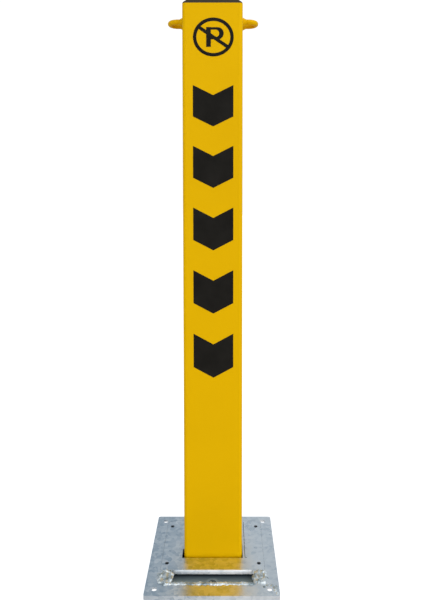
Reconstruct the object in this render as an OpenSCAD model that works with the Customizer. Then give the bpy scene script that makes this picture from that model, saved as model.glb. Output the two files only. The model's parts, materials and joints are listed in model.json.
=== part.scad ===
// Fold-down parking post on a flanged in-ground casing, held upright by a quarter-turn key lock.
// The casing's floor is at z = 0, the flange's middle is on the Z axis and the front faces -Y.

/* [Post] */
// Outer width of the square post tube
post_w = 100; // [98:1:104]
// Wall thickness of the post tube
post_wall = 4; // [3:0.5:5]
// Outer corner radius of the post tube
post_corner_r = 6; // [5.5:0.5:8]
// Height of the tube's top above the flange's top
post_rise = 940; // [800:1:1000]
// Depth of the tube's foot below the flange's top
post_drop = 12; // [11:0.5:13]
// Height of the cap above the tube
cap_rise = 8; // [4:0.5:10]

/* [Chain eyes] */
// Height of the chain eyes above the flange's top
eye_rise = 918.5; // [600:0.5:924]
// Diameter of the chain eyes' bar
eye_bar_d = 9; // [6:0.5:10]
// Radius of the bar's centre line
eye_bend_r = 13; // [11:1:18]

/* [Markings] */
// Height of the no-parking sign's centre above the flange's top
sign_rise = 884.5; // [840:0.5:900]
// Outer width of the sign's ring
sign_w = 67; // [54:1:72]
// Outer height of the sign's ring
sign_h = 63; // [54:1:72]
// Number of chevrons
chevron_count = 5; // [1:1:6]
// Height of the top chevron's notch above the flange's top
chevron_rise = 790; // [740:1:800]
// Distance from the top chevron to the second
chevron_pitch = 100.4; // [80:0.1:108]
// How much longer each distance is than the one above it
chevron_growth = 2.75; // [0:0.05:3]

/* [Flange] */
// Side of the square flange
flange_w = 215; // [212:1:225]
// Height of the flange's folded rim
flange_t = 8; // [7:0.5:10]
// Thickness of the flange's top inside the rim
flange_skin = 3; // [3:0.5:5]
// Corner radius of the flange
flange_corner_r = 4; // [3:0.5:8]
// Distance between the anchor holes, both ways
anchor_spacing = 184; // [184:0.5:188]
// Diameter of the anchor holes
anchor_d = 9; // [8:0.5:10.5]

/* [Casing] */
// Depth of the casing below the flange's top
casing_depth = 80; // [60:1:120]
// Wall thickness of the casing
casing_wall = 3; // [2:0.5:3]
// Thickness of the cover plate
cover_t = 6; // [5:0.5:6.5]

/* [Slot] */
// Length of the key slot in front of the cover plate
slot_w = 134; // [100:1:140]

/* [Hinge] */
// Height of the hinge pin's axis above the flange's top
hinge_rise = 9; // [9:0.5:10]
// Radius of the hinge pin
hinge_pin_r = 5; // [4:0.5:5]

/* [Hidden] */
$fn = 64;
eps = 1; // how far a cutter runs past the face it cuts

// Heights
top_z = casing_depth;
foot_z = top_z - post_drop;
tube_top_z = top_z + post_rise;
cover_z = top_z - cover_t;

// Casing and the flange's cut-out, which the casing fills
flange_rim = 4;
casing_w = 175;
casing_front_y = -80.5;
casing_rear_y = 93.5;
casing_d = casing_rear_y - casing_front_y;
casing_y = (casing_rear_y + casing_front_y) / 2;
casing_corner_r = 12;
inner_w = casing_w - 2 * casing_wall;
inner_d = casing_d - 2 * casing_wall;
inner_corner_r = casing_corner_r - casing_wall;
drain_r = 6;
drain_spacing = 90;

// Cover plate
gap = 0.4; // between the cover plate and what is round it
cover_w = casing_w - 2 * gap;
cover_front_y = -46.5;
lip_lean = 2.2; // how far the lip's foot is in front of its top
cover_rear_y = casing_rear_y - gap;
cover_screw_x = 78;
cover_screw_ys = [-29.5, 75.5];
screw_r = 2;
screw_head_r = 3;
screw_head_h = 2.5;
screw_sink = 1.5; // how far a screw's head is below the cover's top
screw_len = 10;
tab_w = 10.5;
tab_d = 16;
tab_h = 8;

// Hinge and the post's place in front of it
hinge_y = 98.5;
hinge_z = top_z + hinge_rise;
hinge_offset = 10; // from the hinge's axis to the post's rear face
post_rear_y = hinge_y - hinge_offset;
post_front_y = post_rear_y - post_w;
post_y = post_rear_y - post_w / 2;
knuckle_r = 8;
knuckle_w = 16;
knuckle_pitch = 18.5;
hinge_w = 4 * knuckle_pitch + knuckle_w;
bush_wall = 1.5;
bush_r = hinge_pin_r + bush_wall;
run_clear = 0.05; // radial clearance of a turning fit
set_clear = 0.02; // radial clearance of a fixed fit
pin_head_h = 3;
pin_head_r = 7.5;
clip_t = 1;
clip_x = hinge_w / 2 + 0.5;
clip_groove_r = hinge_pin_r - 0.7;
leaf_t = 5;
leaf_h = 60;
leaf_z = hinge_z + hinge_offset;
leaf_bolt_x = 30;
leaf_bolt_zs = [leaf_z + 20, leaf_z + 45];
leaf_bolt_r = 3;
foot_w = 9.5; // depth of the hinge base's feet

// Opening round the post's foot
opening_w = post_w + 10;
opening_front_y = post_front_y - 4;
guide_w = 3.8;
guide_notch_w = 2.2;
guide_notch_d = 20;

// Ledges and pads under the post's foot
ledge_t = 4;
pad_t = 2;
ledge_z = foot_z - pad_t - ledge_t;
ledge_inner_x = post_w / 2 - post_wall - 2;
pad_w = 8;

// Lock
shelf_z = top_z - 14;
shelf_t = 4;
shelf_rear_y = -39;
lock_y = -66;
lock_r = 8;
lock_flange_r = 11;
lock_flange_t = 2;
lock_bottom_z = top_z - 26;
socket_r = 6.5;
socket_floor_z = top_z - 19;
nut_across = 22;
nut_t = 4;
spindle_r = 4.5;
spindle_head_r = 5.5;
spindle_head_h = 6;
drive_w = 6;
cam_t = 4;
cam_w = 16;
cam_z = top_z - 31;
keeper_y = post_front_y + 24; // the keeper web's front face
cam_len = keeper_y - 2 - lock_y;
washer_t = 1.2;

// Keeper under the foot plate
keeper_w = 40;
keeper_t = 4;
keeper_reach = 14;
keeper_flange_d = 26;
keeper_foot_z = cam_z - 1 - keeper_t;
foot_plate_t = 4;
keeper_screw_x = 12;
keeper_screw_r = 3;
keeper_screw_y = keeper_y + keeper_t + keeper_flange_d / 2;

// Top cap
skirt_h = 25;
skirt_wall = 2.5;
skirt_w = post_w - 2 * post_wall - 1.6;
fin_w = post_w - 2 * post_wall - 0.2;
fin_t = 1.5;

// Chain eyes
eye_stub = 10.5;
eye_weld_h = 7;
eye_weld_r = eye_bar_d / 2 + 3.5;

// Markings
mark_t = 0.3;
sign_x = 1.5;
sign_line = 5.5;
slash_angle = 34;
oval_sides = 96;
letter_x = -11.8; // left side of the stem
letter_h = 32;
letter_stem = 7.7;
bowl_x = 7.2; // middle of the bowl's round end
bowl_y = 6;
bowl_r = 9.8;
bowl_thick = 3.5;
bowl_thin = 3.8;
chevron_x = 1;
chevron_w = 67;
chevron_h = 51.5;
chevron_v = 16.4;
chevron_stretch = 0.0285; // how much taller each chevron is than the one above it

// ---- Shared shapes ----

module rounded_square(w, d, r) {
    square([w - 2 * r, d], center = true);
    square([w, d - 2 * r], center = true);
    for (x = [-1, 1], y = [-1, 1])
        translate([x * (w / 2 - r), y * (d / 2 - r)]) circle(r = r);
}

module rounded_block(w, d, r, h) {
    linear_extrude(height = h) rounded_square(w, d, r);
}

module square_ring(w, d, r, wall, h) {
    linear_extrude(height = h)
        difference() {
            rounded_square(w, d, r);
            rounded_square(w - 2 * wall, d - 2 * wall, max(r - wall, 0.5));
        }
}

// A block centred on X that runs from one y to another
module bar(w, y0, y1, z, h) {
    translate([-w / 2, y0, z]) cube([w, y1 - y0, h]);
}

module hexagon_nut(across, bore_r, t) {
    difference() {
        cylinder(r = across / 2 / cos(30), h = t, $fn = 6);
        translate([0, 0, -eps]) cylinder(r = bore_r, h = t + 2 * eps);
    }
}

// A hexagon-head screw with its head's seat at z = 0 and its shank along +Z
module hexagon_screw(r, len, across, head_h) {
    cylinder(r = r, h = len);
    translate([0, 0, -head_h]) cylinder(r = across / 2 / cos(30), h = head_h, $fn = 6);
}

module at_cover_screws() {
    for (x = [-1, 1], y = cover_screw_ys)
        translate([x * cover_screw_x, y, top_z]) children();
}

module at_leaf_bolts() {
    for (x = [-1, 1], z = leaf_bolt_zs)
        translate([x * leaf_bolt_x, post_rear_y, z]) rotate([-90, 0, 0]) children();
}

module at_keeper_screws() {
    for (x = [-1, 1]) translate([x * keeper_screw_x, keeper_screw_y, foot_z]) children();
}

// Trims a shape to the casing's inner outline
module inside_casing() {
    intersection() {
        children();
        translate([0, casing_y, 0]) rounded_block(inner_w, inner_d, inner_corner_r, top_z);
    }
}

// Turns a shape drawn along +Z to lie along +X on the hinge's axis
module on_hinge_axis(x) {
    translate([x, hinge_y, hinge_z]) rotate([0, 90, 0]) children();
}

// ---- Base: flange, casing and cover ----

module flange_plate() {
    color("lightsteelblue")
    translate([0, 0, top_z - flange_t])
        difference() {
            rounded_block(flange_w, flange_w, flange_corner_r, flange_t);
            translate([0, 0, -eps])
                rounded_block(flange_w - 2 * flange_rim, flange_w - 2 * flange_rim, 1,
                    flange_t - flange_skin + eps);
            translate([0, casing_y, -eps])
                rounded_block(casing_w, casing_d, casing_corner_r, flange_t + 2 * eps);
            for (x = [-1, 1], y = [-1, 1])
                translate([x * anchor_spacing / 2, y * anchor_spacing / 2, -eps])
                    cylinder(d = anchor_d, h = flange_t + 2 * eps);
        }
}

module casing() {
    color("slategray")
    difference() {
        translate([0, casing_y, 0]) {
            square_ring(casing_w, casing_d, casing_corner_r, casing_wall, cover_z);
            rounded_block(inner_w, inner_d, inner_corner_r, casing_wall);
        }
        for (x = [-1, 1])
            translate([x * drain_spacing / 2, casing_y, -eps])
                cylinder(r = drain_r, h = casing_wall + 2 * eps);
    }
}

module cover_plate() {
    color("lightsteelblue") {
        cover_blank();
        translate([gap - slot_w / 2, 0, 0])
            rotate([90, 0, 90])
                linear_extrude(height = slot_w - 2 * gap)
                    polygon([[cover_front_y - lip_lean, cover_z], [cover_front_y + eps, cover_z],
                        [cover_front_y + eps, top_z], [cover_front_y, top_z]]);
    }
}

// The cover plate without the sloping lip of the slot
module cover_blank() {
    difference() {
        translate([0, casing_y, cover_z])
            rounded_block(cover_w, casing_d - 2 * gap, casing_corner_r - gap, cover_t);
        bar(casing_w, casing_front_y - eps, cover_front_y, cover_z - eps, cover_t + 2 * eps);
        bar(opening_w, opening_front_y, cover_rear_y + eps, cover_z - eps, cover_t + 2 * eps);
        at_cover_screws() {
            translate([0, 0, -cover_t - eps]) cylinder(r = screw_r + gap / 2, h = cover_t);
            translate([0, 0, -screw_sink - screw_head_h])
                cylinder(r = screw_head_r + gap, h = screw_sink + screw_head_h + eps);
        }
    }
}

module foot_guides() {
    guide_x = opening_w / 2 - guide_w / 2;
    notch_x = opening_w / 2 - guide_w + guide_notch_w / 2;
    color("lightsteelblue") {
        translate([guide_x, 0, 0])
            bar(guide_w, opening_front_y, cover_rear_y, cover_z, cover_t);
        difference() {
            translate([-guide_x, 0, 0])
                bar(guide_w, opening_front_y, cover_rear_y, cover_z, cover_t);
            translate([-notch_x, 0, 0])
                bar(guide_notch_w, opening_front_y - eps, post_front_y + guide_notch_d,
                    cover_z - eps, cover_t + 2 * eps);
        }
    }
}

module cover_tabs() {
    color("slategray")
    for (x = [-1, 1], y = cover_screw_ys)
        difference() {
            translate([x * (inner_w / 2 - tab_w / 2), 0, 0])
                bar(tab_w, y - tab_d / 2, y + tab_d / 2, cover_z - tab_h, tab_h);
            translate([x * cover_screw_x, y, cover_z - tab_h - eps])
                cylinder(r = screw_r + run_clear, h = tab_h + 2 * eps);
        }
}

module cover_screws() {
    color("darkslategray")
    at_cover_screws()
        translate([0, 0, -screw_sink - screw_head_h])
            difference() {
                union() {
                    cylinder(r = screw_head_r, h = screw_head_h);
                    translate([0, 0, -screw_len]) cylinder(r = screw_r, h = screw_len);
                }
                translate([0, 0, screw_head_h / 2])
                    cylinder(r = screw_head_r / 2, h = screw_head_h, $fn = 6);
            }
}

module slot_gussets() {
    color("silver")
    intersection() {
        translate([0, casing_y, cover_z])
            rounded_block(casing_w, casing_d, casing_corner_r, cover_t);
        for (side = [-1, 1])
            translate([side * (slot_w / 2 + casing_w / 4), 0, 0])
                bar(casing_w / 2, casing_front_y, cover_front_y - gap, cover_z, cover_t);
    }
}

module weld_beads() {
    color("silver")
    translate([-slot_w / 2, casing_front_y, top_z])
        rotate([90, 0, 90])
            linear_extrude(height = slot_w)
                polygon([[-3, 0], [-1.5, 1.4], [1, 2], [3.5, 1.2], [5, -1.5], [4, -5],
                    [casing_wall, -cover_t], [0, -cover_t], [0, 0]]);
}

module stop_ledges() {
    ledge_w = inner_w / 2 - ledge_inner_x;
    color("slategray")
    inside_casing()
        for (side = [-1, 1])
            translate([side * (ledge_inner_x + ledge_w / 2), 0, 0])
                bar(ledge_w, post_front_y, post_rear_y, ledge_z, ledge_t);
}

module stop_pads() {
    color("black")
    for (side = [-1, 1])
        translate([side * (ledge_inner_x + pad_w / 2), 0, 0])
            bar(pad_w, post_front_y, post_rear_y, ledge_z + ledge_t, pad_t);
}

// ---- Base: hinge ----

module hinge_base() {
    foot_y = hinge_y - 3;
    color("slategray")
    for (i = [-1:1])
        difference() {
            union() {
                on_hinge_axis(i * 2 * knuckle_pitch - knuckle_w / 2)
                    cylinder(r = knuckle_r, h = knuckle_w);
                translate([i * 2 * knuckle_pitch, 0, 0])
                    bar(knuckle_w, foot_y, foot_y + foot_w, top_z, hinge_rise);
            }
            on_hinge_axis(i * 2 * knuckle_pitch - knuckle_w / 2 - eps)
                cylinder(r = hinge_pin_r + set_clear, h = knuckle_w + 2 * eps);
        }
}

module hinge_pin() {
    pin_end_x = clip_x + clip_t + 2;
    color("gainsboro")
    difference() {
        union() {
            on_hinge_axis(-hinge_w / 2) cylinder(r = hinge_pin_r, h = hinge_w / 2 + pin_end_x);
            on_hinge_axis(-hinge_w / 2 - pin_head_h) cylinder(r = pin_head_r, h = pin_head_h);
        }
        on_hinge_axis(clip_x - run_clear)
            difference() {
                cylinder(r = hinge_pin_r + eps, h = clip_t + 2 * run_clear);
                translate([0, 0, -eps]) cylinder(r = clip_groove_r, h = clip_t + 3 * eps);
            }
    }
}

module hinge_clip() {
    clip_r = hinge_pin_r + 2.5;
    mouth = clip_groove_r * 1.4;
    color("dimgray")
    on_hinge_axis(clip_x)
        difference() {
            cylinder(r = clip_r, h = clip_t);
            translate([0, 0, -eps]) cylinder(r = clip_groove_r + run_clear, h = clip_t + 2 * eps);
            translate([-clip_r - eps, -mouth / 2, -eps]) cube([clip_r + eps, mouth, clip_t + 2 * eps]);
        }
}

// ---- Base: lock ----

module lock_shelf() {
    color("slategray")
    difference() {
        inside_casing() bar(casing_w, casing_front_y, shelf_rear_y, shelf_z, shelf_t);
        translate([0, lock_y, shelf_z - eps])
            cylinder(r = lock_r + set_clear, h = shelf_t + 2 * eps);
    }
}

module lock_body() {
    color("silver")
    translate([0, lock_y, 0])
        difference() {
            union() {
                translate([0, 0, lock_bottom_z])
                    cylinder(r = lock_r, h = shelf_z + shelf_t - lock_bottom_z);
                translate([0, 0, shelf_z + shelf_t])
                    cylinder(r = lock_flange_r, h = lock_flange_t);
            }
            translate([0, 0, socket_floor_z]) cylinder(r = socket_r, h = top_z - socket_floor_z);
            translate([0, 0, lock_bottom_z - eps])
                cylinder(r = spindle_r + run_clear, h = top_z - lock_bottom_z);
        }
}

module lock_nut() {
    color("dimgray")
    translate([0, lock_y, shelf_z - nut_t]) hexagon_nut(nut_across, lock_r + set_clear, nut_t);
}

module lock_spindle() {
    color("gold")
    translate([0, lock_y, 0])
        difference() {
            union() {
                translate([0, 0, socket_floor_z])
                    cylinder(r = spindle_head_r, h = spindle_head_h, $fn = 3);
                translate([0, 0, cam_z + cam_t])
                    cylinder(r = spindle_r, h = socket_floor_z - cam_z - cam_t);
                translate([-drive_w / 2, -drive_w / 2, cam_z]) cube([drive_w, drive_w, cam_t]);
            }
            translate([0, 0, cam_z - eps]) cylinder(r = screw_r + run_clear, h = screw_len);
        }
}

module lock_cam() {
    hole_w = drive_w + 2 * run_clear;
    color("gainsboro")
    translate([0, lock_y, cam_z])
        difference() {
            union() {
                cylinder(d = cam_w, h = cam_t);
                translate([0, -cam_w / 2, 0]) cube([cam_len, cam_w, cam_t]);
            }
            translate([-hole_w / 2, -hole_w / 2, -eps]) cube([hole_w, hole_w, cam_t + 2 * eps]);
        }
}

module cam_washer() {
    color("dimgray")
    translate([0, lock_y, cam_z - washer_t])
        difference() {
            cylinder(r = drive_w, h = washer_t);
            translate([0, 0, -eps]) cylinder(r = screw_r + run_clear, h = washer_t + 2 * eps);
        }
}

module cam_screw() {
    color("gainsboro")
    translate([0, lock_y, cam_z - washer_t]) hexagon_screw(screw_r, screw_len - 1, 7, 3);
}

// ---- Post ----

module post_tube() {
    color("goldenrod")
    difference() {
        translate([0, post_y, foot_z])
            square_ring(post_w, post_w, post_corner_r, post_wall, tube_top_z - foot_z);
        at_leaf_bolts()
            translate([0, 0, -post_wall - eps])
                cylinder(r = leaf_bolt_r + run_clear, h = post_wall + 2 * eps);
    }
}

module top_cap() {
    bevel = [[-post_w / 2, 0], [post_w / 2, 0], [post_w / 2 - cap_rise, cap_rise],
        [-post_w / 2 + cap_rise, cap_rise]];
    color("darkslategray")
    translate([0, post_y, tube_top_z]) {
        intersection() {
            rounded_block(post_w, post_w, post_corner_r, cap_rise);
            for_both_ways(post_w) polygon(bevel);
        }
        translate([0, 0, -skirt_h]) square_ring(skirt_w, skirt_w, 1.5, skirt_wall, skirt_h);
        for (z = [-5, -12, -19])
            translate([0, 0, z]) square_ring(fin_w, fin_w, 1.8, skirt_wall, fin_t);
    }
}

// The common part of one outline extruded along X and along Y
module for_both_ways(w) {
    intersection() {
        translate([0, w / 2, 0]) rotate([90, 0, 0]) linear_extrude(height = w) children();
        translate([-w / 2, 0, 0]) rotate([90, 0, 90]) linear_extrude(height = w) children();
    }
}

// A half loop of bar that stands out of the post along +X
module chain_eye() {
    translate([post_w / 2, post_y, top_z + eye_rise]) {
        for (y = [-1, 1])
            translate([0, y * eye_bend_r, 0])
                rotate([0, 90, 0]) {
                    cylinder(d = eye_bar_d, h = eye_stub);
                    cylinder(r1 = eye_weld_r, r2 = eye_bar_d / 2, h = eye_weld_h);
                }
        translate([eye_stub, 0, 0])
            rotate([0, 0, -90])
                rotate_extrude(angle = 180)
                    translate([eye_bend_r, 0]) circle(d = eye_bar_d);
    }
}

module chain_eye_left() {
    color("goldenrod") mirror([1, 0, 0]) chain_eye();
}

module chain_eye_right() {
    color("goldenrod") chain_eye();
}

module foot_plate() {
    w = post_w - 2 * post_wall;
    color("goldenrod")
    difference() {
        translate([0, post_y, foot_z])
            rounded_block(w, w, post_corner_r - post_wall, foot_plate_t);
        at_keeper_screws()
            translate([0, 0, -eps])
                cylinder(r = keeper_screw_r + run_clear, h = foot_plate_t + 2 * eps);
    }
}

module keeper() {
    web_rear_y = keeper_y + keeper_t;
    color("gainsboro")
    difference() {
        union() {
            bar(keeper_w, keeper_y, web_rear_y, keeper_foot_z, foot_z - keeper_foot_z);
            bar(keeper_w, keeper_y - keeper_reach, web_rear_y, keeper_foot_z, keeper_t);
            bar(keeper_w, keeper_y, web_rear_y + keeper_flange_d, foot_z - keeper_t, keeper_t);
        }
        at_keeper_screws()
            translate([0, 0, -keeper_t - eps])
                cylinder(r = keeper_screw_r + run_clear, h = keeper_t + 2 * eps);
    }
}

module keeper_screws() {
    color("dimgray")
    at_keeper_screws() translate([0, 0, -keeper_t]) hexagon_screw(keeper_screw_r, 16, 10, 4);
}

module keeper_nuts() {
    color("dimgray")
    at_keeper_screws()
        translate([0, 0, foot_plate_t]) hexagon_nut(10, keeper_screw_r + set_clear, 5);
}

module hinge_leaf() {
    color("slategray")
    difference() {
        union() {
            bar(hinge_w, post_rear_y, post_rear_y + leaf_t, leaf_z, leaf_h);
            for (side = [-1, 1]) {
                on_hinge_axis(side * knuckle_pitch - knuckle_w / 2)
                    cylinder(r = knuckle_r, h = knuckle_w);
                translate([side * knuckle_pitch, 0, 0])
                    bar(knuckle_w, post_rear_y, post_rear_y + knuckle_r, hinge_z, hinge_offset);
            }
        }
        for (side = [-1, 1])
            on_hinge_axis(side * knuckle_pitch - knuckle_w / 2 - eps)
                cylinder(r = bush_r + set_clear, h = knuckle_w + 2 * eps);
        at_leaf_bolts() cylinder(r = leaf_bolt_r + run_clear, h = leaf_t + eps);
    }
}

module hinge_bushes() {
    color("peru")
    for (side = [-1, 1])
        on_hinge_axis(side * knuckle_pitch - knuckle_w / 2)
            difference() {
                cylinder(r = bush_r, h = knuckle_w);
                translate([0, 0, -eps])
                    cylinder(r = hinge_pin_r + run_clear, h = knuckle_w + 2 * eps);
            }
}

module leaf_bolts() {
    color("dimgray")
    at_leaf_bolts() translate([0, 0, leaf_t]) mirror([0, 0, 1]) hexagon_screw(leaf_bolt_r, 16, 10, 4);
}

module leaf_nuts() {
    color("dimgray")
    at_leaf_bolts()
        translate([0, 0, -post_wall - 5]) hexagon_nut(10, leaf_bolt_r + set_clear, 5);
}

// ---- Markings ----

// Raises a flat outline, drawn in X and Z, on the post's front face
module mark_front() {
    translate([0, post_front_y, 0]) rotate([90, 0, 0]) linear_extrude(height = mark_t) children();
}

// Height of a chevron's notch above the flange's top, counted from 0 at the top chevron
function chevron_notch(i) = chevron_rise - i * chevron_pitch - i * (i - 1) / 2 * chevron_growth;

module chevrons() {
    half = chevron_w / 2;
    color("black")
    for (i = [0:chevron_count - 1])
        mark_front()
            translate([chevron_x, top_z + chevron_notch(i)])
                scale([1, 1 + i * chevron_stretch])
                    polygon([[0, 0], [half, chevron_v], [half, chevron_v - chevron_h],
                        [0, -chevron_h], [-half, chevron_v - chevron_h], [-half, chevron_v]]);
}

// An oval outline, as a polygon
module oval(w, h) {
    polygon([for (i = [0:oval_sides - 1])
        [w / 2 * cos(i * 360 / oval_sides), h / 2 * sin(i * 360 / oval_sides)]]);
}

// A shape with a straight left side and a round right side
module round_ended(x0, x1, r) {
    translate([x1, 0]) circle(r = r);
    translate([x0, -r]) square([x1 - x0, 2 * r]);
}

// The road-sign letter, a stem with a round bowl, about the middle of the sign
module letter() {
    translate([letter_x, -letter_h / 2]) square([letter_stem, letter_h]);
    translate([0, bowl_y])
        difference() {
            round_ended(letter_x, bowl_x, bowl_r);
            round_ended(letter_x + letter_stem, bowl_x - bowl_thick, bowl_r - bowl_thin);
        }
}

module no_parking_sign() {
    color("black")
    mark_front()
        translate([sign_x, top_z + sign_rise]) {
            difference() {
                oval(sign_w, sign_h);
                oval(sign_w - 2 * sign_line, sign_h - 2 * sign_line);
            }
            rotate(-slash_angle)
                square([sign_h - sign_line, sign_line], center = true);
            letter();
        }
}

flange_plate();
casing();
cover_plate();
foot_guides();
cover_tabs();
cover_screws();
slot_gussets();
weld_beads();
lock_shelf();
lock_body();
lock_nut();
stop_ledges();
stop_pads();
hinge_base();
hinge_pin();
hinge_clip();
lock_spindle();
lock_cam();
cam_washer();
cam_screw();
post_tube();
top_cap();
chain_eye_left();
chain_eye_right();
foot_plate();
keeper();
keeper_screws();
keeper_nuts();
hinge_leaf();
hinge_bushes();
leaf_bolts();
leaf_nuts();
chevrons();
no_parking_sign();
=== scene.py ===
import json
import math
import random

import bmesh
import bpy
from mathutils import Matrix, Vector, noise


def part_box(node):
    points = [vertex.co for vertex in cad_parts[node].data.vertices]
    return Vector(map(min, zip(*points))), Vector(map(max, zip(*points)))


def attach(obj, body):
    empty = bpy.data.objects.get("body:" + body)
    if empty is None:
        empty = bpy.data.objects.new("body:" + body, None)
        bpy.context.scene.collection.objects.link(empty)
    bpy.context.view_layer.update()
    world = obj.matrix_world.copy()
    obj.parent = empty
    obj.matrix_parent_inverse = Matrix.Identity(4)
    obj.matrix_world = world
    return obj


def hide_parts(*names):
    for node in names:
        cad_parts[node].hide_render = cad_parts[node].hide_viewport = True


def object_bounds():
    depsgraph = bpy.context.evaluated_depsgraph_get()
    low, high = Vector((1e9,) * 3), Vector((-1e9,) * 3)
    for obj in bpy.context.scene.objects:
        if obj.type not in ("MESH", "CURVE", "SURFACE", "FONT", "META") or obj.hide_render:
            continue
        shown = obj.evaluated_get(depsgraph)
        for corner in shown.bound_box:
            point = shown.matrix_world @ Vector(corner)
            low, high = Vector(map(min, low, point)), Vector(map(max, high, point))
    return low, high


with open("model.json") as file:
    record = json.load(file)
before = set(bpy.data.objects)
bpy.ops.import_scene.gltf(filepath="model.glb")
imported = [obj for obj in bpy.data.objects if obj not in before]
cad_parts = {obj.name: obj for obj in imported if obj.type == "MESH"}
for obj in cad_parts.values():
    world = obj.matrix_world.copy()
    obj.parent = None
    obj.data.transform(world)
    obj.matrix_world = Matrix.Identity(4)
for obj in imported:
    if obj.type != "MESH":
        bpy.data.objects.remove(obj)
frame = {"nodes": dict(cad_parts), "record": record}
cad_low, cad_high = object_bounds()

MM = 0.001
BASE = "base"
POST = "post"
SHARP_ANGLE = math.radians(40)
FLANGE_SKIN = 3 * MM
ANCHOR_INSET = 15.5 * MM

flange_low, flange_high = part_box("flange_plate")
post_low, post_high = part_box("post_tube")
casing_low, casing_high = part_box("casing")
bead_low, bead_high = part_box("weld_beads")
cover_low, cover_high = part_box("cover_plate")
top_z = flange_high[2]
under_z = top_z - FLANGE_SKIN
slot_y = (casing_low[1] + cover_low[1]) / 2


# ---------- Node helpers ----------


class Graph:
    """A material or world node tree, with short calls for what the looks below share."""

    def __init__(self, tree):
        self.tree = tree

    def add(self, kind, inputs=(), **settings):
        node = self.tree.nodes.new(kind)
        for name, value in settings.items():
            setattr(node, name, value)
        for name, value in dict(inputs).items():
            self.feed(node.inputs[name], value)
        return node

    def feed(self, socket, value):
        if isinstance(value, bpy.types.NodeSocket):
            self.tree.links.new(value, socket)
        else:
            socket.default_value = value

    def place(self):
        return self.add("ShaderNodeTexCoord").outputs["Object"]

    def stretched(self, vector, scale):
        return self.add("ShaderNodeMapping", {"Vector": vector, "Scale": scale}).outputs["Vector"]

    def noise(self, vector, scale, detail=3.0, rough=0.5):
        inputs = {"Vector": vector, "Scale": scale, "Detail": detail, "Roughness": rough}
        return self.add("ShaderNodeTexNoise", inputs).outputs["Fac"]

    def axis(self, vector, letter):
        return self.add("ShaderNodeSeparateXYZ", {"Vector": vector}).outputs[letter]

    def cells(self, vector, scale):
        """A random grey for each cell of a crystal-like pattern."""
        node = self.add("ShaderNodeTexVoronoi", {"Vector": vector, "Scale": scale})
        return self.add("ShaderNodeSeparateColor", {"Color": node.outputs["Color"]}).outputs["Red"]

    def span(self, value, low, high, start=0.0, stop=1.0):
        """Maps start to stop onto low to high."""
        inputs = {"Value": value, "From Min": start, "From Max": stop}
        inputs.update({"To Min": low, "To Max": high})
        return self.add("ShaderNodeMapRange", inputs).outputs["Result"]

    def math(self, operation, a, b):
        node = self.add("ShaderNodeMath", operation=operation)
        self.feed(node.inputs[0], a)
        self.feed(node.inputs[1], b)
        return node.outputs["Value"]

    def total(self, *terms):
        """The sum of (value, weight) terms."""
        scaled = [self.math("MULTIPLY", value, weight) for value, weight in terms]
        result = scaled[0]
        for term in scaled[1:]:
            result = self.math("ADD", result, term)
        return result

    def ramp(self, value, *stops):
        """A colour ramp through (place, colour) stops."""
        node = self.add("ShaderNodeValToRGB", {"Fac": value})
        elements = node.color_ramp.elements
        while len(elements) < len(stops):
            elements.new(1.0)
        for element, (place, colour) in zip(elements, stops):
            element.position = place
            element.color = (*colour, 1.0)
        return node.outputs["Color"]

    def mottle(self, value, dark, light):
        """Two close tones, over the middle range of a noise."""
        return self.ramp(value, (0.3, dark), (0.7, light))

    def bump(self, height, distance, strength=1.0, normal=None):
        inputs = {"Height": height, "Distance": distance, "Strength": strength}
        if normal is not None:
            inputs["Normal"] = normal
        return self.add("ShaderNodeBump", inputs).outputs["Normal"]


def material(name, **constants):
    """A new material, its graph and its shader, with the shader's constant sockets set."""
    made = bpy.data.materials.new(name)
    made.use_nodes = True
    shader = made.node_tree.nodes["Principled BSDF"]
    for socket, value in constants.items():
        shader.inputs[socket.replace("_", " ")].default_value = value
    return made, Graph(made.node_tree), shader


def connect(graph, shader, **sockets):
    for socket, value in sockets.items():
        graph.feed(shader.inputs[socket.replace("_", " ")], value)


# ---------- Materials ----------


def hot_dip_zinc():
    """Dull blue-grey zinc with faint spangle, cloudy patches, streaks, a soft sheen and painted
    shade on its left.
    """
    made, g, shader = material("hot_dip_zinc", Metallic=1.0)
    place = g.place()
    spangle = g.cells(place, 160.0)
    clouds = g.noise(place, 22.0, 4.0, 0.6)
    streaks = g.noise(g.stretched(place, (25.0, 120.0, 25.0)), 1.0, 2.0)
    tone = g.total((clouds, 0.38), (spangle, 0.2), (streaks, 0.25))
    # Painted shade: the plate's colour is darker on its left, where less light falls
    tone = g.math("ADD", tone, g.span(g.axis(place, "X"), -0.115, 0.125, -0.09, 0.05))
    colour = g.ramp(
        tone,
        (0.2, (0.44, 0.51, 0.575)),
        (0.5, (0.79, 0.81, 0.83)),
        (0.75, (0.90, 0.91, 0.92)),
    )
    rough = g.span(g.total((clouds, 0.6), (spangle, 0.4)), 0.24, 0.38)
    waves = g.bump(g.noise(place, 45.0, 2.0), 0.001, 0.4)
    grain = g.bump(g.noise(place, 600.0, 2.0), 0.00008, 0.25, waves)
    connect(g, shader, Base_Color=colour, Roughness=rough, Normal=grain)
    return made


def weld_metal():
    """Bright, lumpy zinc that has run over weld metal."""
    made, g, shader = material("weld_metal", Metallic=0.6)
    place = g.place()
    clouds = g.noise(place, 90.0, 4.0, 0.6)
    colour = g.ramp(clouds, (0.36, (0.20, 0.25, 0.27)), (0.62, (0.76, 0.80, 0.81)))
    rough = g.span(g.noise(place, 160.0, 2.0), 0.24, 0.42, 0.3, 0.7)
    lumps = g.bump(g.noise(place, 260.0, 2.0), 0.0004, 0.5)
    connect(g, shader, Base_Color=colour, Roughness=rough, Normal=lumps)
    return made


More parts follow.
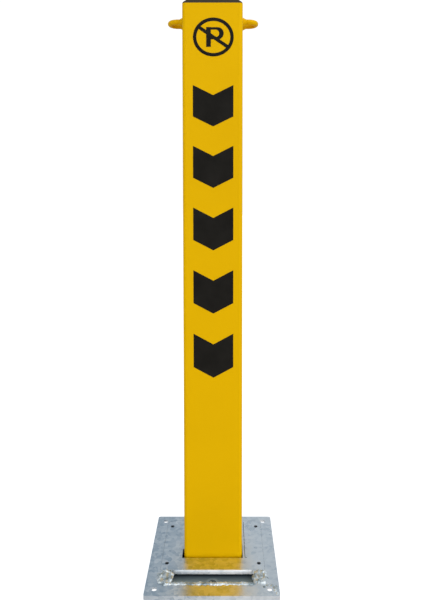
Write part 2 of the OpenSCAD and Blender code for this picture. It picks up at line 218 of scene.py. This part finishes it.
def dull_zinc():
    """Weathered zinc inside the casing, without gloss, with painted shade darkening it under the
    cover plate.
    """
    made, g, shader = material("dull_zinc", Metallic=0.2)
    place = g.place()
    clouds = g.noise(place, 70.0, 4.0, 0.6)
    # Painted shade: light towards the slot's front, at y -66 mm, and dark at y -44 mm, under the
    # cover
    painted_under_cover_shade = g.span(g.axis(place, "Y"), 0.8, 0.0, -0.066, -0.044)
    tone = g.math("ADD", g.math("MULTIPLY", clouds, 0.2), painted_under_cover_shade)
    colour = g.ramp(
        tone,
        (0.1, (0.02, 0.03, 0.04)),
        (0.5, (0.10, 0.13, 0.14)),
        (0.95, (0.30, 0.36, 0.37)),
    )
    grain = g.bump(g.noise(place, 800.0), 0.0001, 0.5)
    connect(g, shader, Base_Color=colour, Roughness=g.span(clouds, 0.55, 0.75), Normal=grain)
    return made


def bright_zinc():
    """Thin bright zinc plating on turned and stamped parts."""
    made, g, shader = material("bright_zinc", Metallic=1.0)
    place = g.place()
    clouds = g.noise(place, 120.0)
    colour = g.mottle(clouds, (0.50, 0.51, 0.51), (0.66, 0.67, 0.68))
    rough = g.span(clouds, 0.2, 0.36)
    lines = g.bump(g.noise(g.stretched(place, (1.0, 1.0, 14.0)), 220.0, 2.0), 0.00008, 0.5)
    connect(g, shader, Base_Color=colour, Roughness=rough, Normal=lines)
    return made


def dark_screws():
    """Blackened steel."""
    made, g, shader = material("dark_screws", Metallic=0.6)
    grain = g.noise(g.place(), 900.0)
    colour = g.mottle(grain, (0.012, 0.014, 0.018), (0.035, 0.038, 0.045))
    connect(g, shader, Base_Color=colour, Roughness=g.span(grain, 0.4, 0.6))
    return made


def yellow_paint():
    """Powder coat: an even signal yellow with fine orange peel and a low sheen."""
    made, g, shader = material("yellow_paint", Specular_IOR_Level=0.03)
    place = g.place()
    colour = g.mottle(g.noise(place, 9.0), (0.70, 0.39, 0.0), (0.73, 0.41, 0.0))
    peel = g.bump(g.noise(place, 420.0, 2.0, 0.4), 0.0002, 0.35)
    grain = g.bump(g.noise(place, 1500.0, 2.0), 0.00004, 0.4, peel)
    rough = g.span(g.noise(place, 60.0, 2.0), 0.42, 0.52)
    connect(g, shader, Base_Color=colour, Roughness=rough, Normal=grain)
    return made


def black_film():
    """Cut black film with a faint grain and a satin face."""
    made, g, shader = material("black_film", Specular_IOR_Level=0.06)
    place = g.place()
    colour = g.mottle(g.noise(place, 40.0), (0.0075, 0.0065, 0.005), (0.012, 0.0105, 0.0085))
    rough = g.span(g.noise(place, 90.0, 2.0), 0.42, 0.55)
    grain = g.bump(g.noise(place, 900.0, 2.0), 0.00004, 0.4)
    connect(g, shader, Base_Color=colour, Roughness=rough, Normal=grain)
    return made


def cap_plastic():
    """Moulded black-brown plastic with a spark-eroded grain."""
    made, g, shader = material("cap_plastic", Specular_IOR_Level=0.12)
    place = g.place()
    colour = g.mottle(g.noise(place, 30.0), (0.034, 0.024, 0.012), (0.044, 0.032, 0.017))
    grain = g.noise(place, 1300.0, 2.0, 0.6)
    rough = g.span(grain, 0.4, 0.55)
    connect(g, shader, Base_Color=colour, Roughness=rough, Normal=g.bump(grain, 0.00012, 0.6))
    return made


def pad_rubber():
    """Matt black rubber, for the pads and for the sealant."""
    made, g, shader = material("pad_rubber", Specular_IOR_Level=0.3)
    grain = g.noise(g.place(), 600.0)
    colour = g.mottle(grain, (0.010, 0.010, 0.010), (0.022, 0.022, 0.022))
    rough = g.span(grain, 0.65, 0.85)
    connect(g, shader, Base_Color=colour, Roughness=rough, Normal=g.bump(grain, 0.0001, 0.5))
    return made


def bronze():
    """Plain bearing bronze."""
    made, g, shader = material("bronze", Metallic=1.0)
    grain = g.noise(g.place(), 300.0)
    colour = g.mottle(grain, (0.50, 0.31, 0.14), (0.66, 0.43, 0.21))
    connect(g, shader, Base_Color=colour, Roughness=g.span(grain, 0.25, 0.4))
    return made


MATERIALS = {
    make.__name__: make()
    for make in (
        hot_dip_zinc,
        weld_metal,
        dull_zinc,
        bright_zinc,
        dark_screws,
        yellow_paint,
        black_film,
        cap_plastic,
        pad_rubber,
        bronze,
    )
}


# ---------- CAD nodes: material, shading and worn edges ----------

# Radius of the rounded edges, in millimetres
EDGE_RADII = {
    "flange_plate": 0.9,
    "cover_plate": 0.8,
    "foot_guides": 0.9,
    "slot_gussets": 0.6,
    "casing": 0.6,
    "hinge_leaf": 0.6,
    "hinge_base": 0.5,
    "top_cap": 0.7,
    "keeper": 0.5,
    "lock_cam": 0.4,
    "leaf_bolts": 0.3,
}


def round_edges(node, radius):
    """Rounds a node's sharp edges with modifiers, which leave its own vertices alone."""
    flatten = node.modifiers.new("flatten", "DECIMATE")
    flatten.decimate_type = "DISSOLVE"
    flatten.angle_limit = math.radians(0.5)
    bevel = node.modifiers.new("bevel", "BEVEL")
    bevel.width = radius
    bevel.segments = 3
    bevel.limit_method = "ANGLE"
    bevel.angle_limit = SHARP_ANGLE
    bevel.use_clamp_overlap = False
    bevel.harden_normals = True


def dress_nodes():
    """Gives every CAD node the material of its slot."""
    for part in frame["record"]["subparts"]:
        node = frame["nodes"][part["node"]]
        node.data.materials.clear()
        node.data.materials.append(MATERIALS[part["material_slot"]])
        for face in node.data.polygons:
            face.use_smooth = True
        node.data.set_sharp_from_angle(angle=SHARP_ANGLE)
        if part["node"] in EDGE_RADII:
            round_edges(node, EDGE_RADII[part["node"]] * MM)


# ---------- Pieces ----------


def add_piece(name, mesh, body, slot):
    """Puts a mesh into the scene as a piece that rides on a body."""
    piece = bpy.data.objects.new(name, mesh)
    bpy.context.scene.collection.objects.link(piece)
    mesh.materials.clear()
    mesh.materials.append(MATERIALS[slot])
    for face in mesh.polygons:
        face.use_smooth = True
    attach(piece, body)
    return piece


def draw_mm(rng, low, high):
    """A random length between low and high millimetres, in metres."""
    return rng.uniform(low, high) * MM


def turns(count):
    """Angles spaced evenly round a circle."""
    return [2 * math.pi * k / count for k in range(count)]


def spread(start, stop, steps):
    """Numbers spaced evenly from start to stop, with both ends."""
    return [start + (stop - start) * k / steps for k in range(steps + 1)]


def melt(name, lumps, voxel, waviness):
    """One closed skin over (centre, radii) ellipsoids, with its surface stirred by noise."""
    work = bmesh.new()
    for centre, radii in lumps:
        shape = Matrix.Translation(centre) @ Matrix.Diagonal((*radii, 1.0))
        bmesh.ops.create_icosphere(work, subdivisions=3, radius=1.0, matrix=shape)
    rough = bpy.data.meshes.new(name + "_lumps")
    work.to_mesh(rough)
    work.free()
    holder = bpy.data.objects.new(name + "_lumps", rough)
    bpy.context.scene.collection.objects.link(holder)
    remesh = holder.modifiers.new("skin", "REMESH")
    remesh.mode = "VOXEL"
    remesh.voxel_size = voxel
    smooth = holder.modifiers.new("smooth", "SMOOTH")
    smooth.factor = 0.5
    smooth.iterations = 2
    graph = bpy.context.evaluated_depsgraph_get()
    mesh = bpy.data.meshes.new_from_object(holder.evaluated_get(graph))
    bpy.data.objects.remove(holder)
    bpy.data.meshes.remove(rough)
    coarse, fine = 240.0, 560.0
    for vertex in mesh.vertices:
        stir = noise.noise(vertex.co * coarse) + 0.3 * noise.noise(vertex.co * fine)
        vertex.co += vertex.normal * (stir * waviness)
    mesh.name = name
    return mesh


def ridge_lumps(rng):
    """Overlapping runs of weld along the slot's front edge."""
    reach = bead_high[0]
    overrun = 2 * MM
    middle = (bead_low[1] + bead_high[1]) / 2
    lumps = []
    x = -reach - overrun
    while x < reach + overrun:
        y = middle + draw_mm(rng, -0.9, 0.9)
        centre = Vector((x, y, top_z - draw_mm(rng, 0.8, 1.6)))
        width = draw_mm(rng, 3.2, 4.6)
        lumps.append((centre, (draw_mm(rng, 2.6, 4.2), width, draw_mm(rng, 2.2, 3.4))))
        x += draw_mm(rng, 1.8, 3.4)
    return lumps


def corner_lumps(rng, x, y, half_x, half_y):
    """A thick, uneven patch of weld with a raised rim, over one end of the slot."""
    lumps = []
    rim_count, fill_count = 13, 6
    for even_turn in turns(rim_count):
        turn = even_turn + rng.uniform(-0.2, 0.2)
        reach = rng.uniform(0.62, 0.8)
        rim_x = x + half_x * reach * math.cos(turn)
        rim_y = y + half_y * reach * math.sin(turn)
        size = draw_mm(rng, 3.4, 5.4)
        radii = (size, size * rng.uniform(0.9, 1.3), draw_mm(rng, 2.2, 4.4))
        lumps.append((Vector((rim_x, rim_y, top_z)), radii))
    for _ in range(fill_count):
        spread_x = rng.uniform(-0.3, 0.3) * half_x
        spread_y = rng.uniform(-0.6, 0.6) * half_y
        centre = Vector((x + spread_x, y + spread_y, top_z - 1 * MM))
        lumps.append((centre, (6 * MM, 7 * MM, draw_mm(rng, 1.6, 4.0))))
    return lumps


def drip_lumps(rng):
    """Frozen runs of zinc beside the front right anchor hole and along the flange's corner."""
    edge, front = flange_high[0], flange_low[1]
    sunk_z = top_z - 0.4 * MM
    edge_gap = 4.2 * MM
    lumps = []
    for degrees in (-20, 22, 64, 106, 148):
        turn = math.radians(degrees)
        reach = draw_mm(rng, 8.8, 10.6)
        x = edge - ANCHOR_INSET + reach * math.cos(turn)
        y = front + ANCHOR_INSET + reach * math.sin(turn)
        size = draw_mm(rng, 2.6, 3.8)
        lumps.append((Vector((x, y, sunk_z)), (size, 1.2 * size, draw_mm(rng, 0.9, 1.2))))
    for _ in range(4):
        size = draw_mm(rng, 2.4, 3.2)
        y = front + draw_mm(rng, 5, 26)
        lumps.append((Vector((edge - edge_gap, y, sunk_z)), (size, 1.6 * size, 1 * MM)))
    return lumps


def slot_weld():
    """The ridge in front of the slot with the patches at its ends, and the zinc runs."""
    rng = random.Random(7)
    patches = (
        (bead_low[0] - 10 * MM, slot_y - 1 * MM, 14 * MM, 21 * MM),
        (bead_high[0] + 11 * MM, slot_y + 2 * MM, 13 * MM, 18 * MM),
    )
    lumps = ridge_lumps(rng)
    for patch in patches:
        lumps += corner_lumps(rng, *patch)
    weld = melt("slot_weld", lumps, 0.9 * MM, 0.3 * MM)
    drips = melt("zinc_drips", drip_lumps(rng), 0.6 * MM, 0.15 * MM)
    piece = add_piece("slot_weld", weld, BASE, "weld_metal")
    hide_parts("weld_beads")
    add_piece("zinc_drips", drips, BASE, "weld_metal")


def across(points, i, closed):
    """Two directions at right angles to a path at its point i."""
    count = len(points)
    after = points[(i + 1) % count] if closed or i < count - 1 else points[i]
    before = points[i - 1] if closed or i > 0 else points[i]
    along = (after - before).normalized()
    side = along.cross(Vector((0, 0, 1)))
    nearly_upright = side.length < 0.1
    if nearly_upright:
        side = along.cross(Vector((1, 0, 0)))
    side.normalize()
    return side, side.cross(along)


def bead(name, points, radius, closed, body, slot, seed):
    """A weld bead swept along points, with the ripples of a laid weld."""
    rng = random.Random(seed)
    sides = 10
    ripple, ripple_turn, unevenness, end_taper = 0.16, 2.1, 0.08, 0.45
    count = len(points)
    work = bmesh.new()
    rings = []
    for i, point in enumerate(points):
        side, up = across(points, i, closed)
        wave = ripple * math.sin(i * ripple_turn)
        swell = radius * (1 + wave + rng.uniform(-unevenness, unevenness))
        if not closed and i in (0, count - 1):
            swell *= end_taper
        ring = []
        for turn in turns(sides):
            outward = side * math.cos(turn) + up * math.sin(turn)
            ring.append(work.verts.new(point + outward * swell))
        rings.append(ring)
    for i in range(count if closed else count - 1):
        near, far = rings[i], rings[(i + 1) % count]
        for k in range(sides):
            work.faces.new((near[k], near[(k + 1) % sides], far[(k + 1) % sides], far[k]))
    if not closed:
        work.faces.new(rings[0][::-1])
        work.faces.new(rings[-1])
    bmesh.ops.recalc_face_normals(work, faces=work.faces)
    mesh = bpy.data.meshes.new(name)
    work.to_mesh(mesh)
    work.free()
    add_piece(name, mesh, body, slot)


def rounded_rectangle(low, high, radius, z, step):
    """Points round a rectangle with round corners, about step apart."""
    points = []
    arc_steps = 6
    corners = (
        (high[0] - radius, high[1] - radius, 0.0),
        (low[0] + radius, high[1] - radius, 0.5 * math.pi),
        (low[0] + radius, low[1] + radius, math.pi),
        (high[0] - radius, low[1] + radius, 1.5 * math.pi),
    )
    for x, y, start in corners:
        for k in range(arc_steps + 1):
            turn = start + 0.5 * math.pi * k / arc_steps
            points.append(Vector((x + radius * math.cos(turn), y + radius * math.sin(turn), z)))
    path = []
    for here, there in zip(points, points[1:] + points[:1]):
        pieces = max(1, round((there - here).length / step))
        path += [here.lerp(there, k / pieces) for k in range(pieces)]
    return path


def casing_weld():
    """The bead round the casing, under the flange."""
    corner = 12 * MM
    path = rounded_rectangle(casing_low, casing_high, corner, under_z - 0.6 * MM, 2 * MM)
    bead("casing_weld", path, 2.6 * MM, True, BASE, "weld_metal", 11)


def eye_welds():
    """Painted weld collars where the chain eyes' bars meet the post."""
    collar = 5 * MM
    bar_inset = 8 * MM
    for side, node in ((-1, "chain_eye_left"), (1, "chain_eye_right")):
        low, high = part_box(node)
        face_x = post_high[0] if side > 0 else post_low[0]
        x = face_x + side * 0.5 * MM
        bar_z = (low[2] + high[2]) / 2
        reach = (high[1] - low[1]) / 2 - bar_inset
        middle = (high[1] + low[1]) / 2
        for end in (-1, 1):
            points = []
            for turn in turns(24):
                y = middle + end * reach + collar * math.cos(turn)
                points.append(Vector((x, y, bar_z + collar * math.sin(turn))))
            name = f"{node}_weld_{'front' if end < 0 else 'rear'}"
            bead(name, points, 2.2 * MM, True, POST, "yellow_paint", 20 + end + 3 * side)


def hinge_welds():
    """Beads where the rear of the hinge base's feet meets the flange."""
    low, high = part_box("hinge_base")
    knuckle = 16 * MM
    pitch = (high[0] - low[0] - knuckle) / 2
    y, z = flange_high[1] - 2.2 * MM, top_z + 0.3 * MM
    for i in (-1, 0, 1):
        start, stop = i * pitch - knuckle / 2, i * pitch + knuckle / 2
        points = [Vector((x, y, z)) for x in spread(start, stop, 10)]
        bead(f"hinge_weld_{i + 2}", points, 1.6 * MM, False, BASE, "weld_metal", 31 + i)


def guide_joint():
    """Dark sealant between the cover plate and the guide right of the post's foot."""
    # The joint turns right at its front end, which is this far behind the cover's front edge
    setback = 34.5 * MM
    front, rear = cover_low[1] + setback, cover_high[1] - 2 * MM
    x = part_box("foot_guides")[1][0]
    z = top_z - 0.3 * MM
    points = [Vector((x, y, z)) for y in spread(rear, front, 30)]
    points += [Vector((x + k * MM, front, z)) for k in range(1, 5)]
    bead("guide_joint", points, 0.55 * MM, False, BASE, "pad_rubber", 41)


# ---------- Stage, light and camera ----------


def add_floor():
    """A pale floor that glows white for the camera and more weakly for the object."""
    work = bmesh.new()
    bmesh.ops.create_grid(work, x_segments=4, y_segments=4, size=12.0)
    mesh = bpy.data.meshes.new("floor")
    work.to_mesh(mesh)
    work.free()
    floor = bpy.data.objects.new("floor", mesh)
    floor.location.z = cad_low[2]
    bpy.context.scene.collection.objects.link(floor)
    made, g, shader = material("pale_floor", Roughness=0.9, Specular_IOR_Level=0.0)
    colour = g.mottle(g.noise(g.place(), 3.0), (0.34, 0.34, 0.34), (0.36, 0.36, 0.36))
    shader.inputs["Emission Color"].default_value = (1.0, 1.0, 1.0, 1.0)
    seen = g.add("ShaderNodeLightPath").outputs["Is Camera Ray"]
    connect(g, shader, Base_Color=colour, Emission_Strength=g.span(seen, 0.35, 0.9))
    mesh.materials.append(made)


def add_world():
    """A white horizon all round and a bluish ceiling, at full strength for the camera only."""
    world = bpy.data.worlds.new("studio")
    world.use_nodes = True
    bpy.context.scene.world = world
    g = Graph(world.node_tree)
    ray = g.add("ShaderNodeTexCoord").outputs["Generated"]
    colour = g.ramp(
        g.axis(ray, "Z"),
        (0.31, (1.05, 1.05, 1.05)),
        (0.42, (0.48, 0.58, 0.66)),
        (0.9, (0.44, 0.53, 0.61)),
    )
    seen = g.add("ShaderNodeLightPath").outputs["Is Camera Ray"]
    strength = g.span(seen, 0.76, 1.0)
    connect(g, world.node_tree.nodes["Background"], Color=colour, Strength=strength)


def add_sun(name, direction, angle, strength):
    """A sun lamp that shines in a direction, as wide as an angle in degrees."""
    light = bpy.data.lights.new(name, "SUN")
    light.angle = math.radians(angle)
    light.energy = strength
    lamp = bpy.data.objects.new(name, light)
    lamp.rotation_euler = Vector(direction).to_track_quat("-Z", "Y").to_euler()
    bpy.context.scene.collection.objects.link(lamp)


def add_lights():
    add_sun("key", (-0.5, 1.0, -0.7), 110.0, 2.3)
    add_sun("rear", (-0.6, -1.0, -1.2), 90.0, 0.15)


def add_camera():
    """The photograph's viewpoint: in front, a little right of the middle and looking down."""
    pitch = 3.19
    data = bpy.data.cameras.new("camera")
    data.lens = 34.56
    data.sensor_width = 36.0
    data.shift_x = -0.0237
    data.shift_y = -0.1417
    camera = bpy.data.objects.new("camera", data)
    camera.location = (22.7 * MM, flange_low[1] - 866 * MM, top_z + 645 * MM)
    camera.rotation_euler = (math.radians(90 - pitch), 0, 0)
    bpy.context.scene.collection.objects.link(camera)
    bpy.context.scene.camera = camera


dress_nodes()
slot_weld()
casing_weld()
eye_welds()
hinge_welds()
guide_joint()
add_floor()
add_world()
add_lights()
add_camera()
bpy.context.scene.view_settings.view_transform = "Standard"
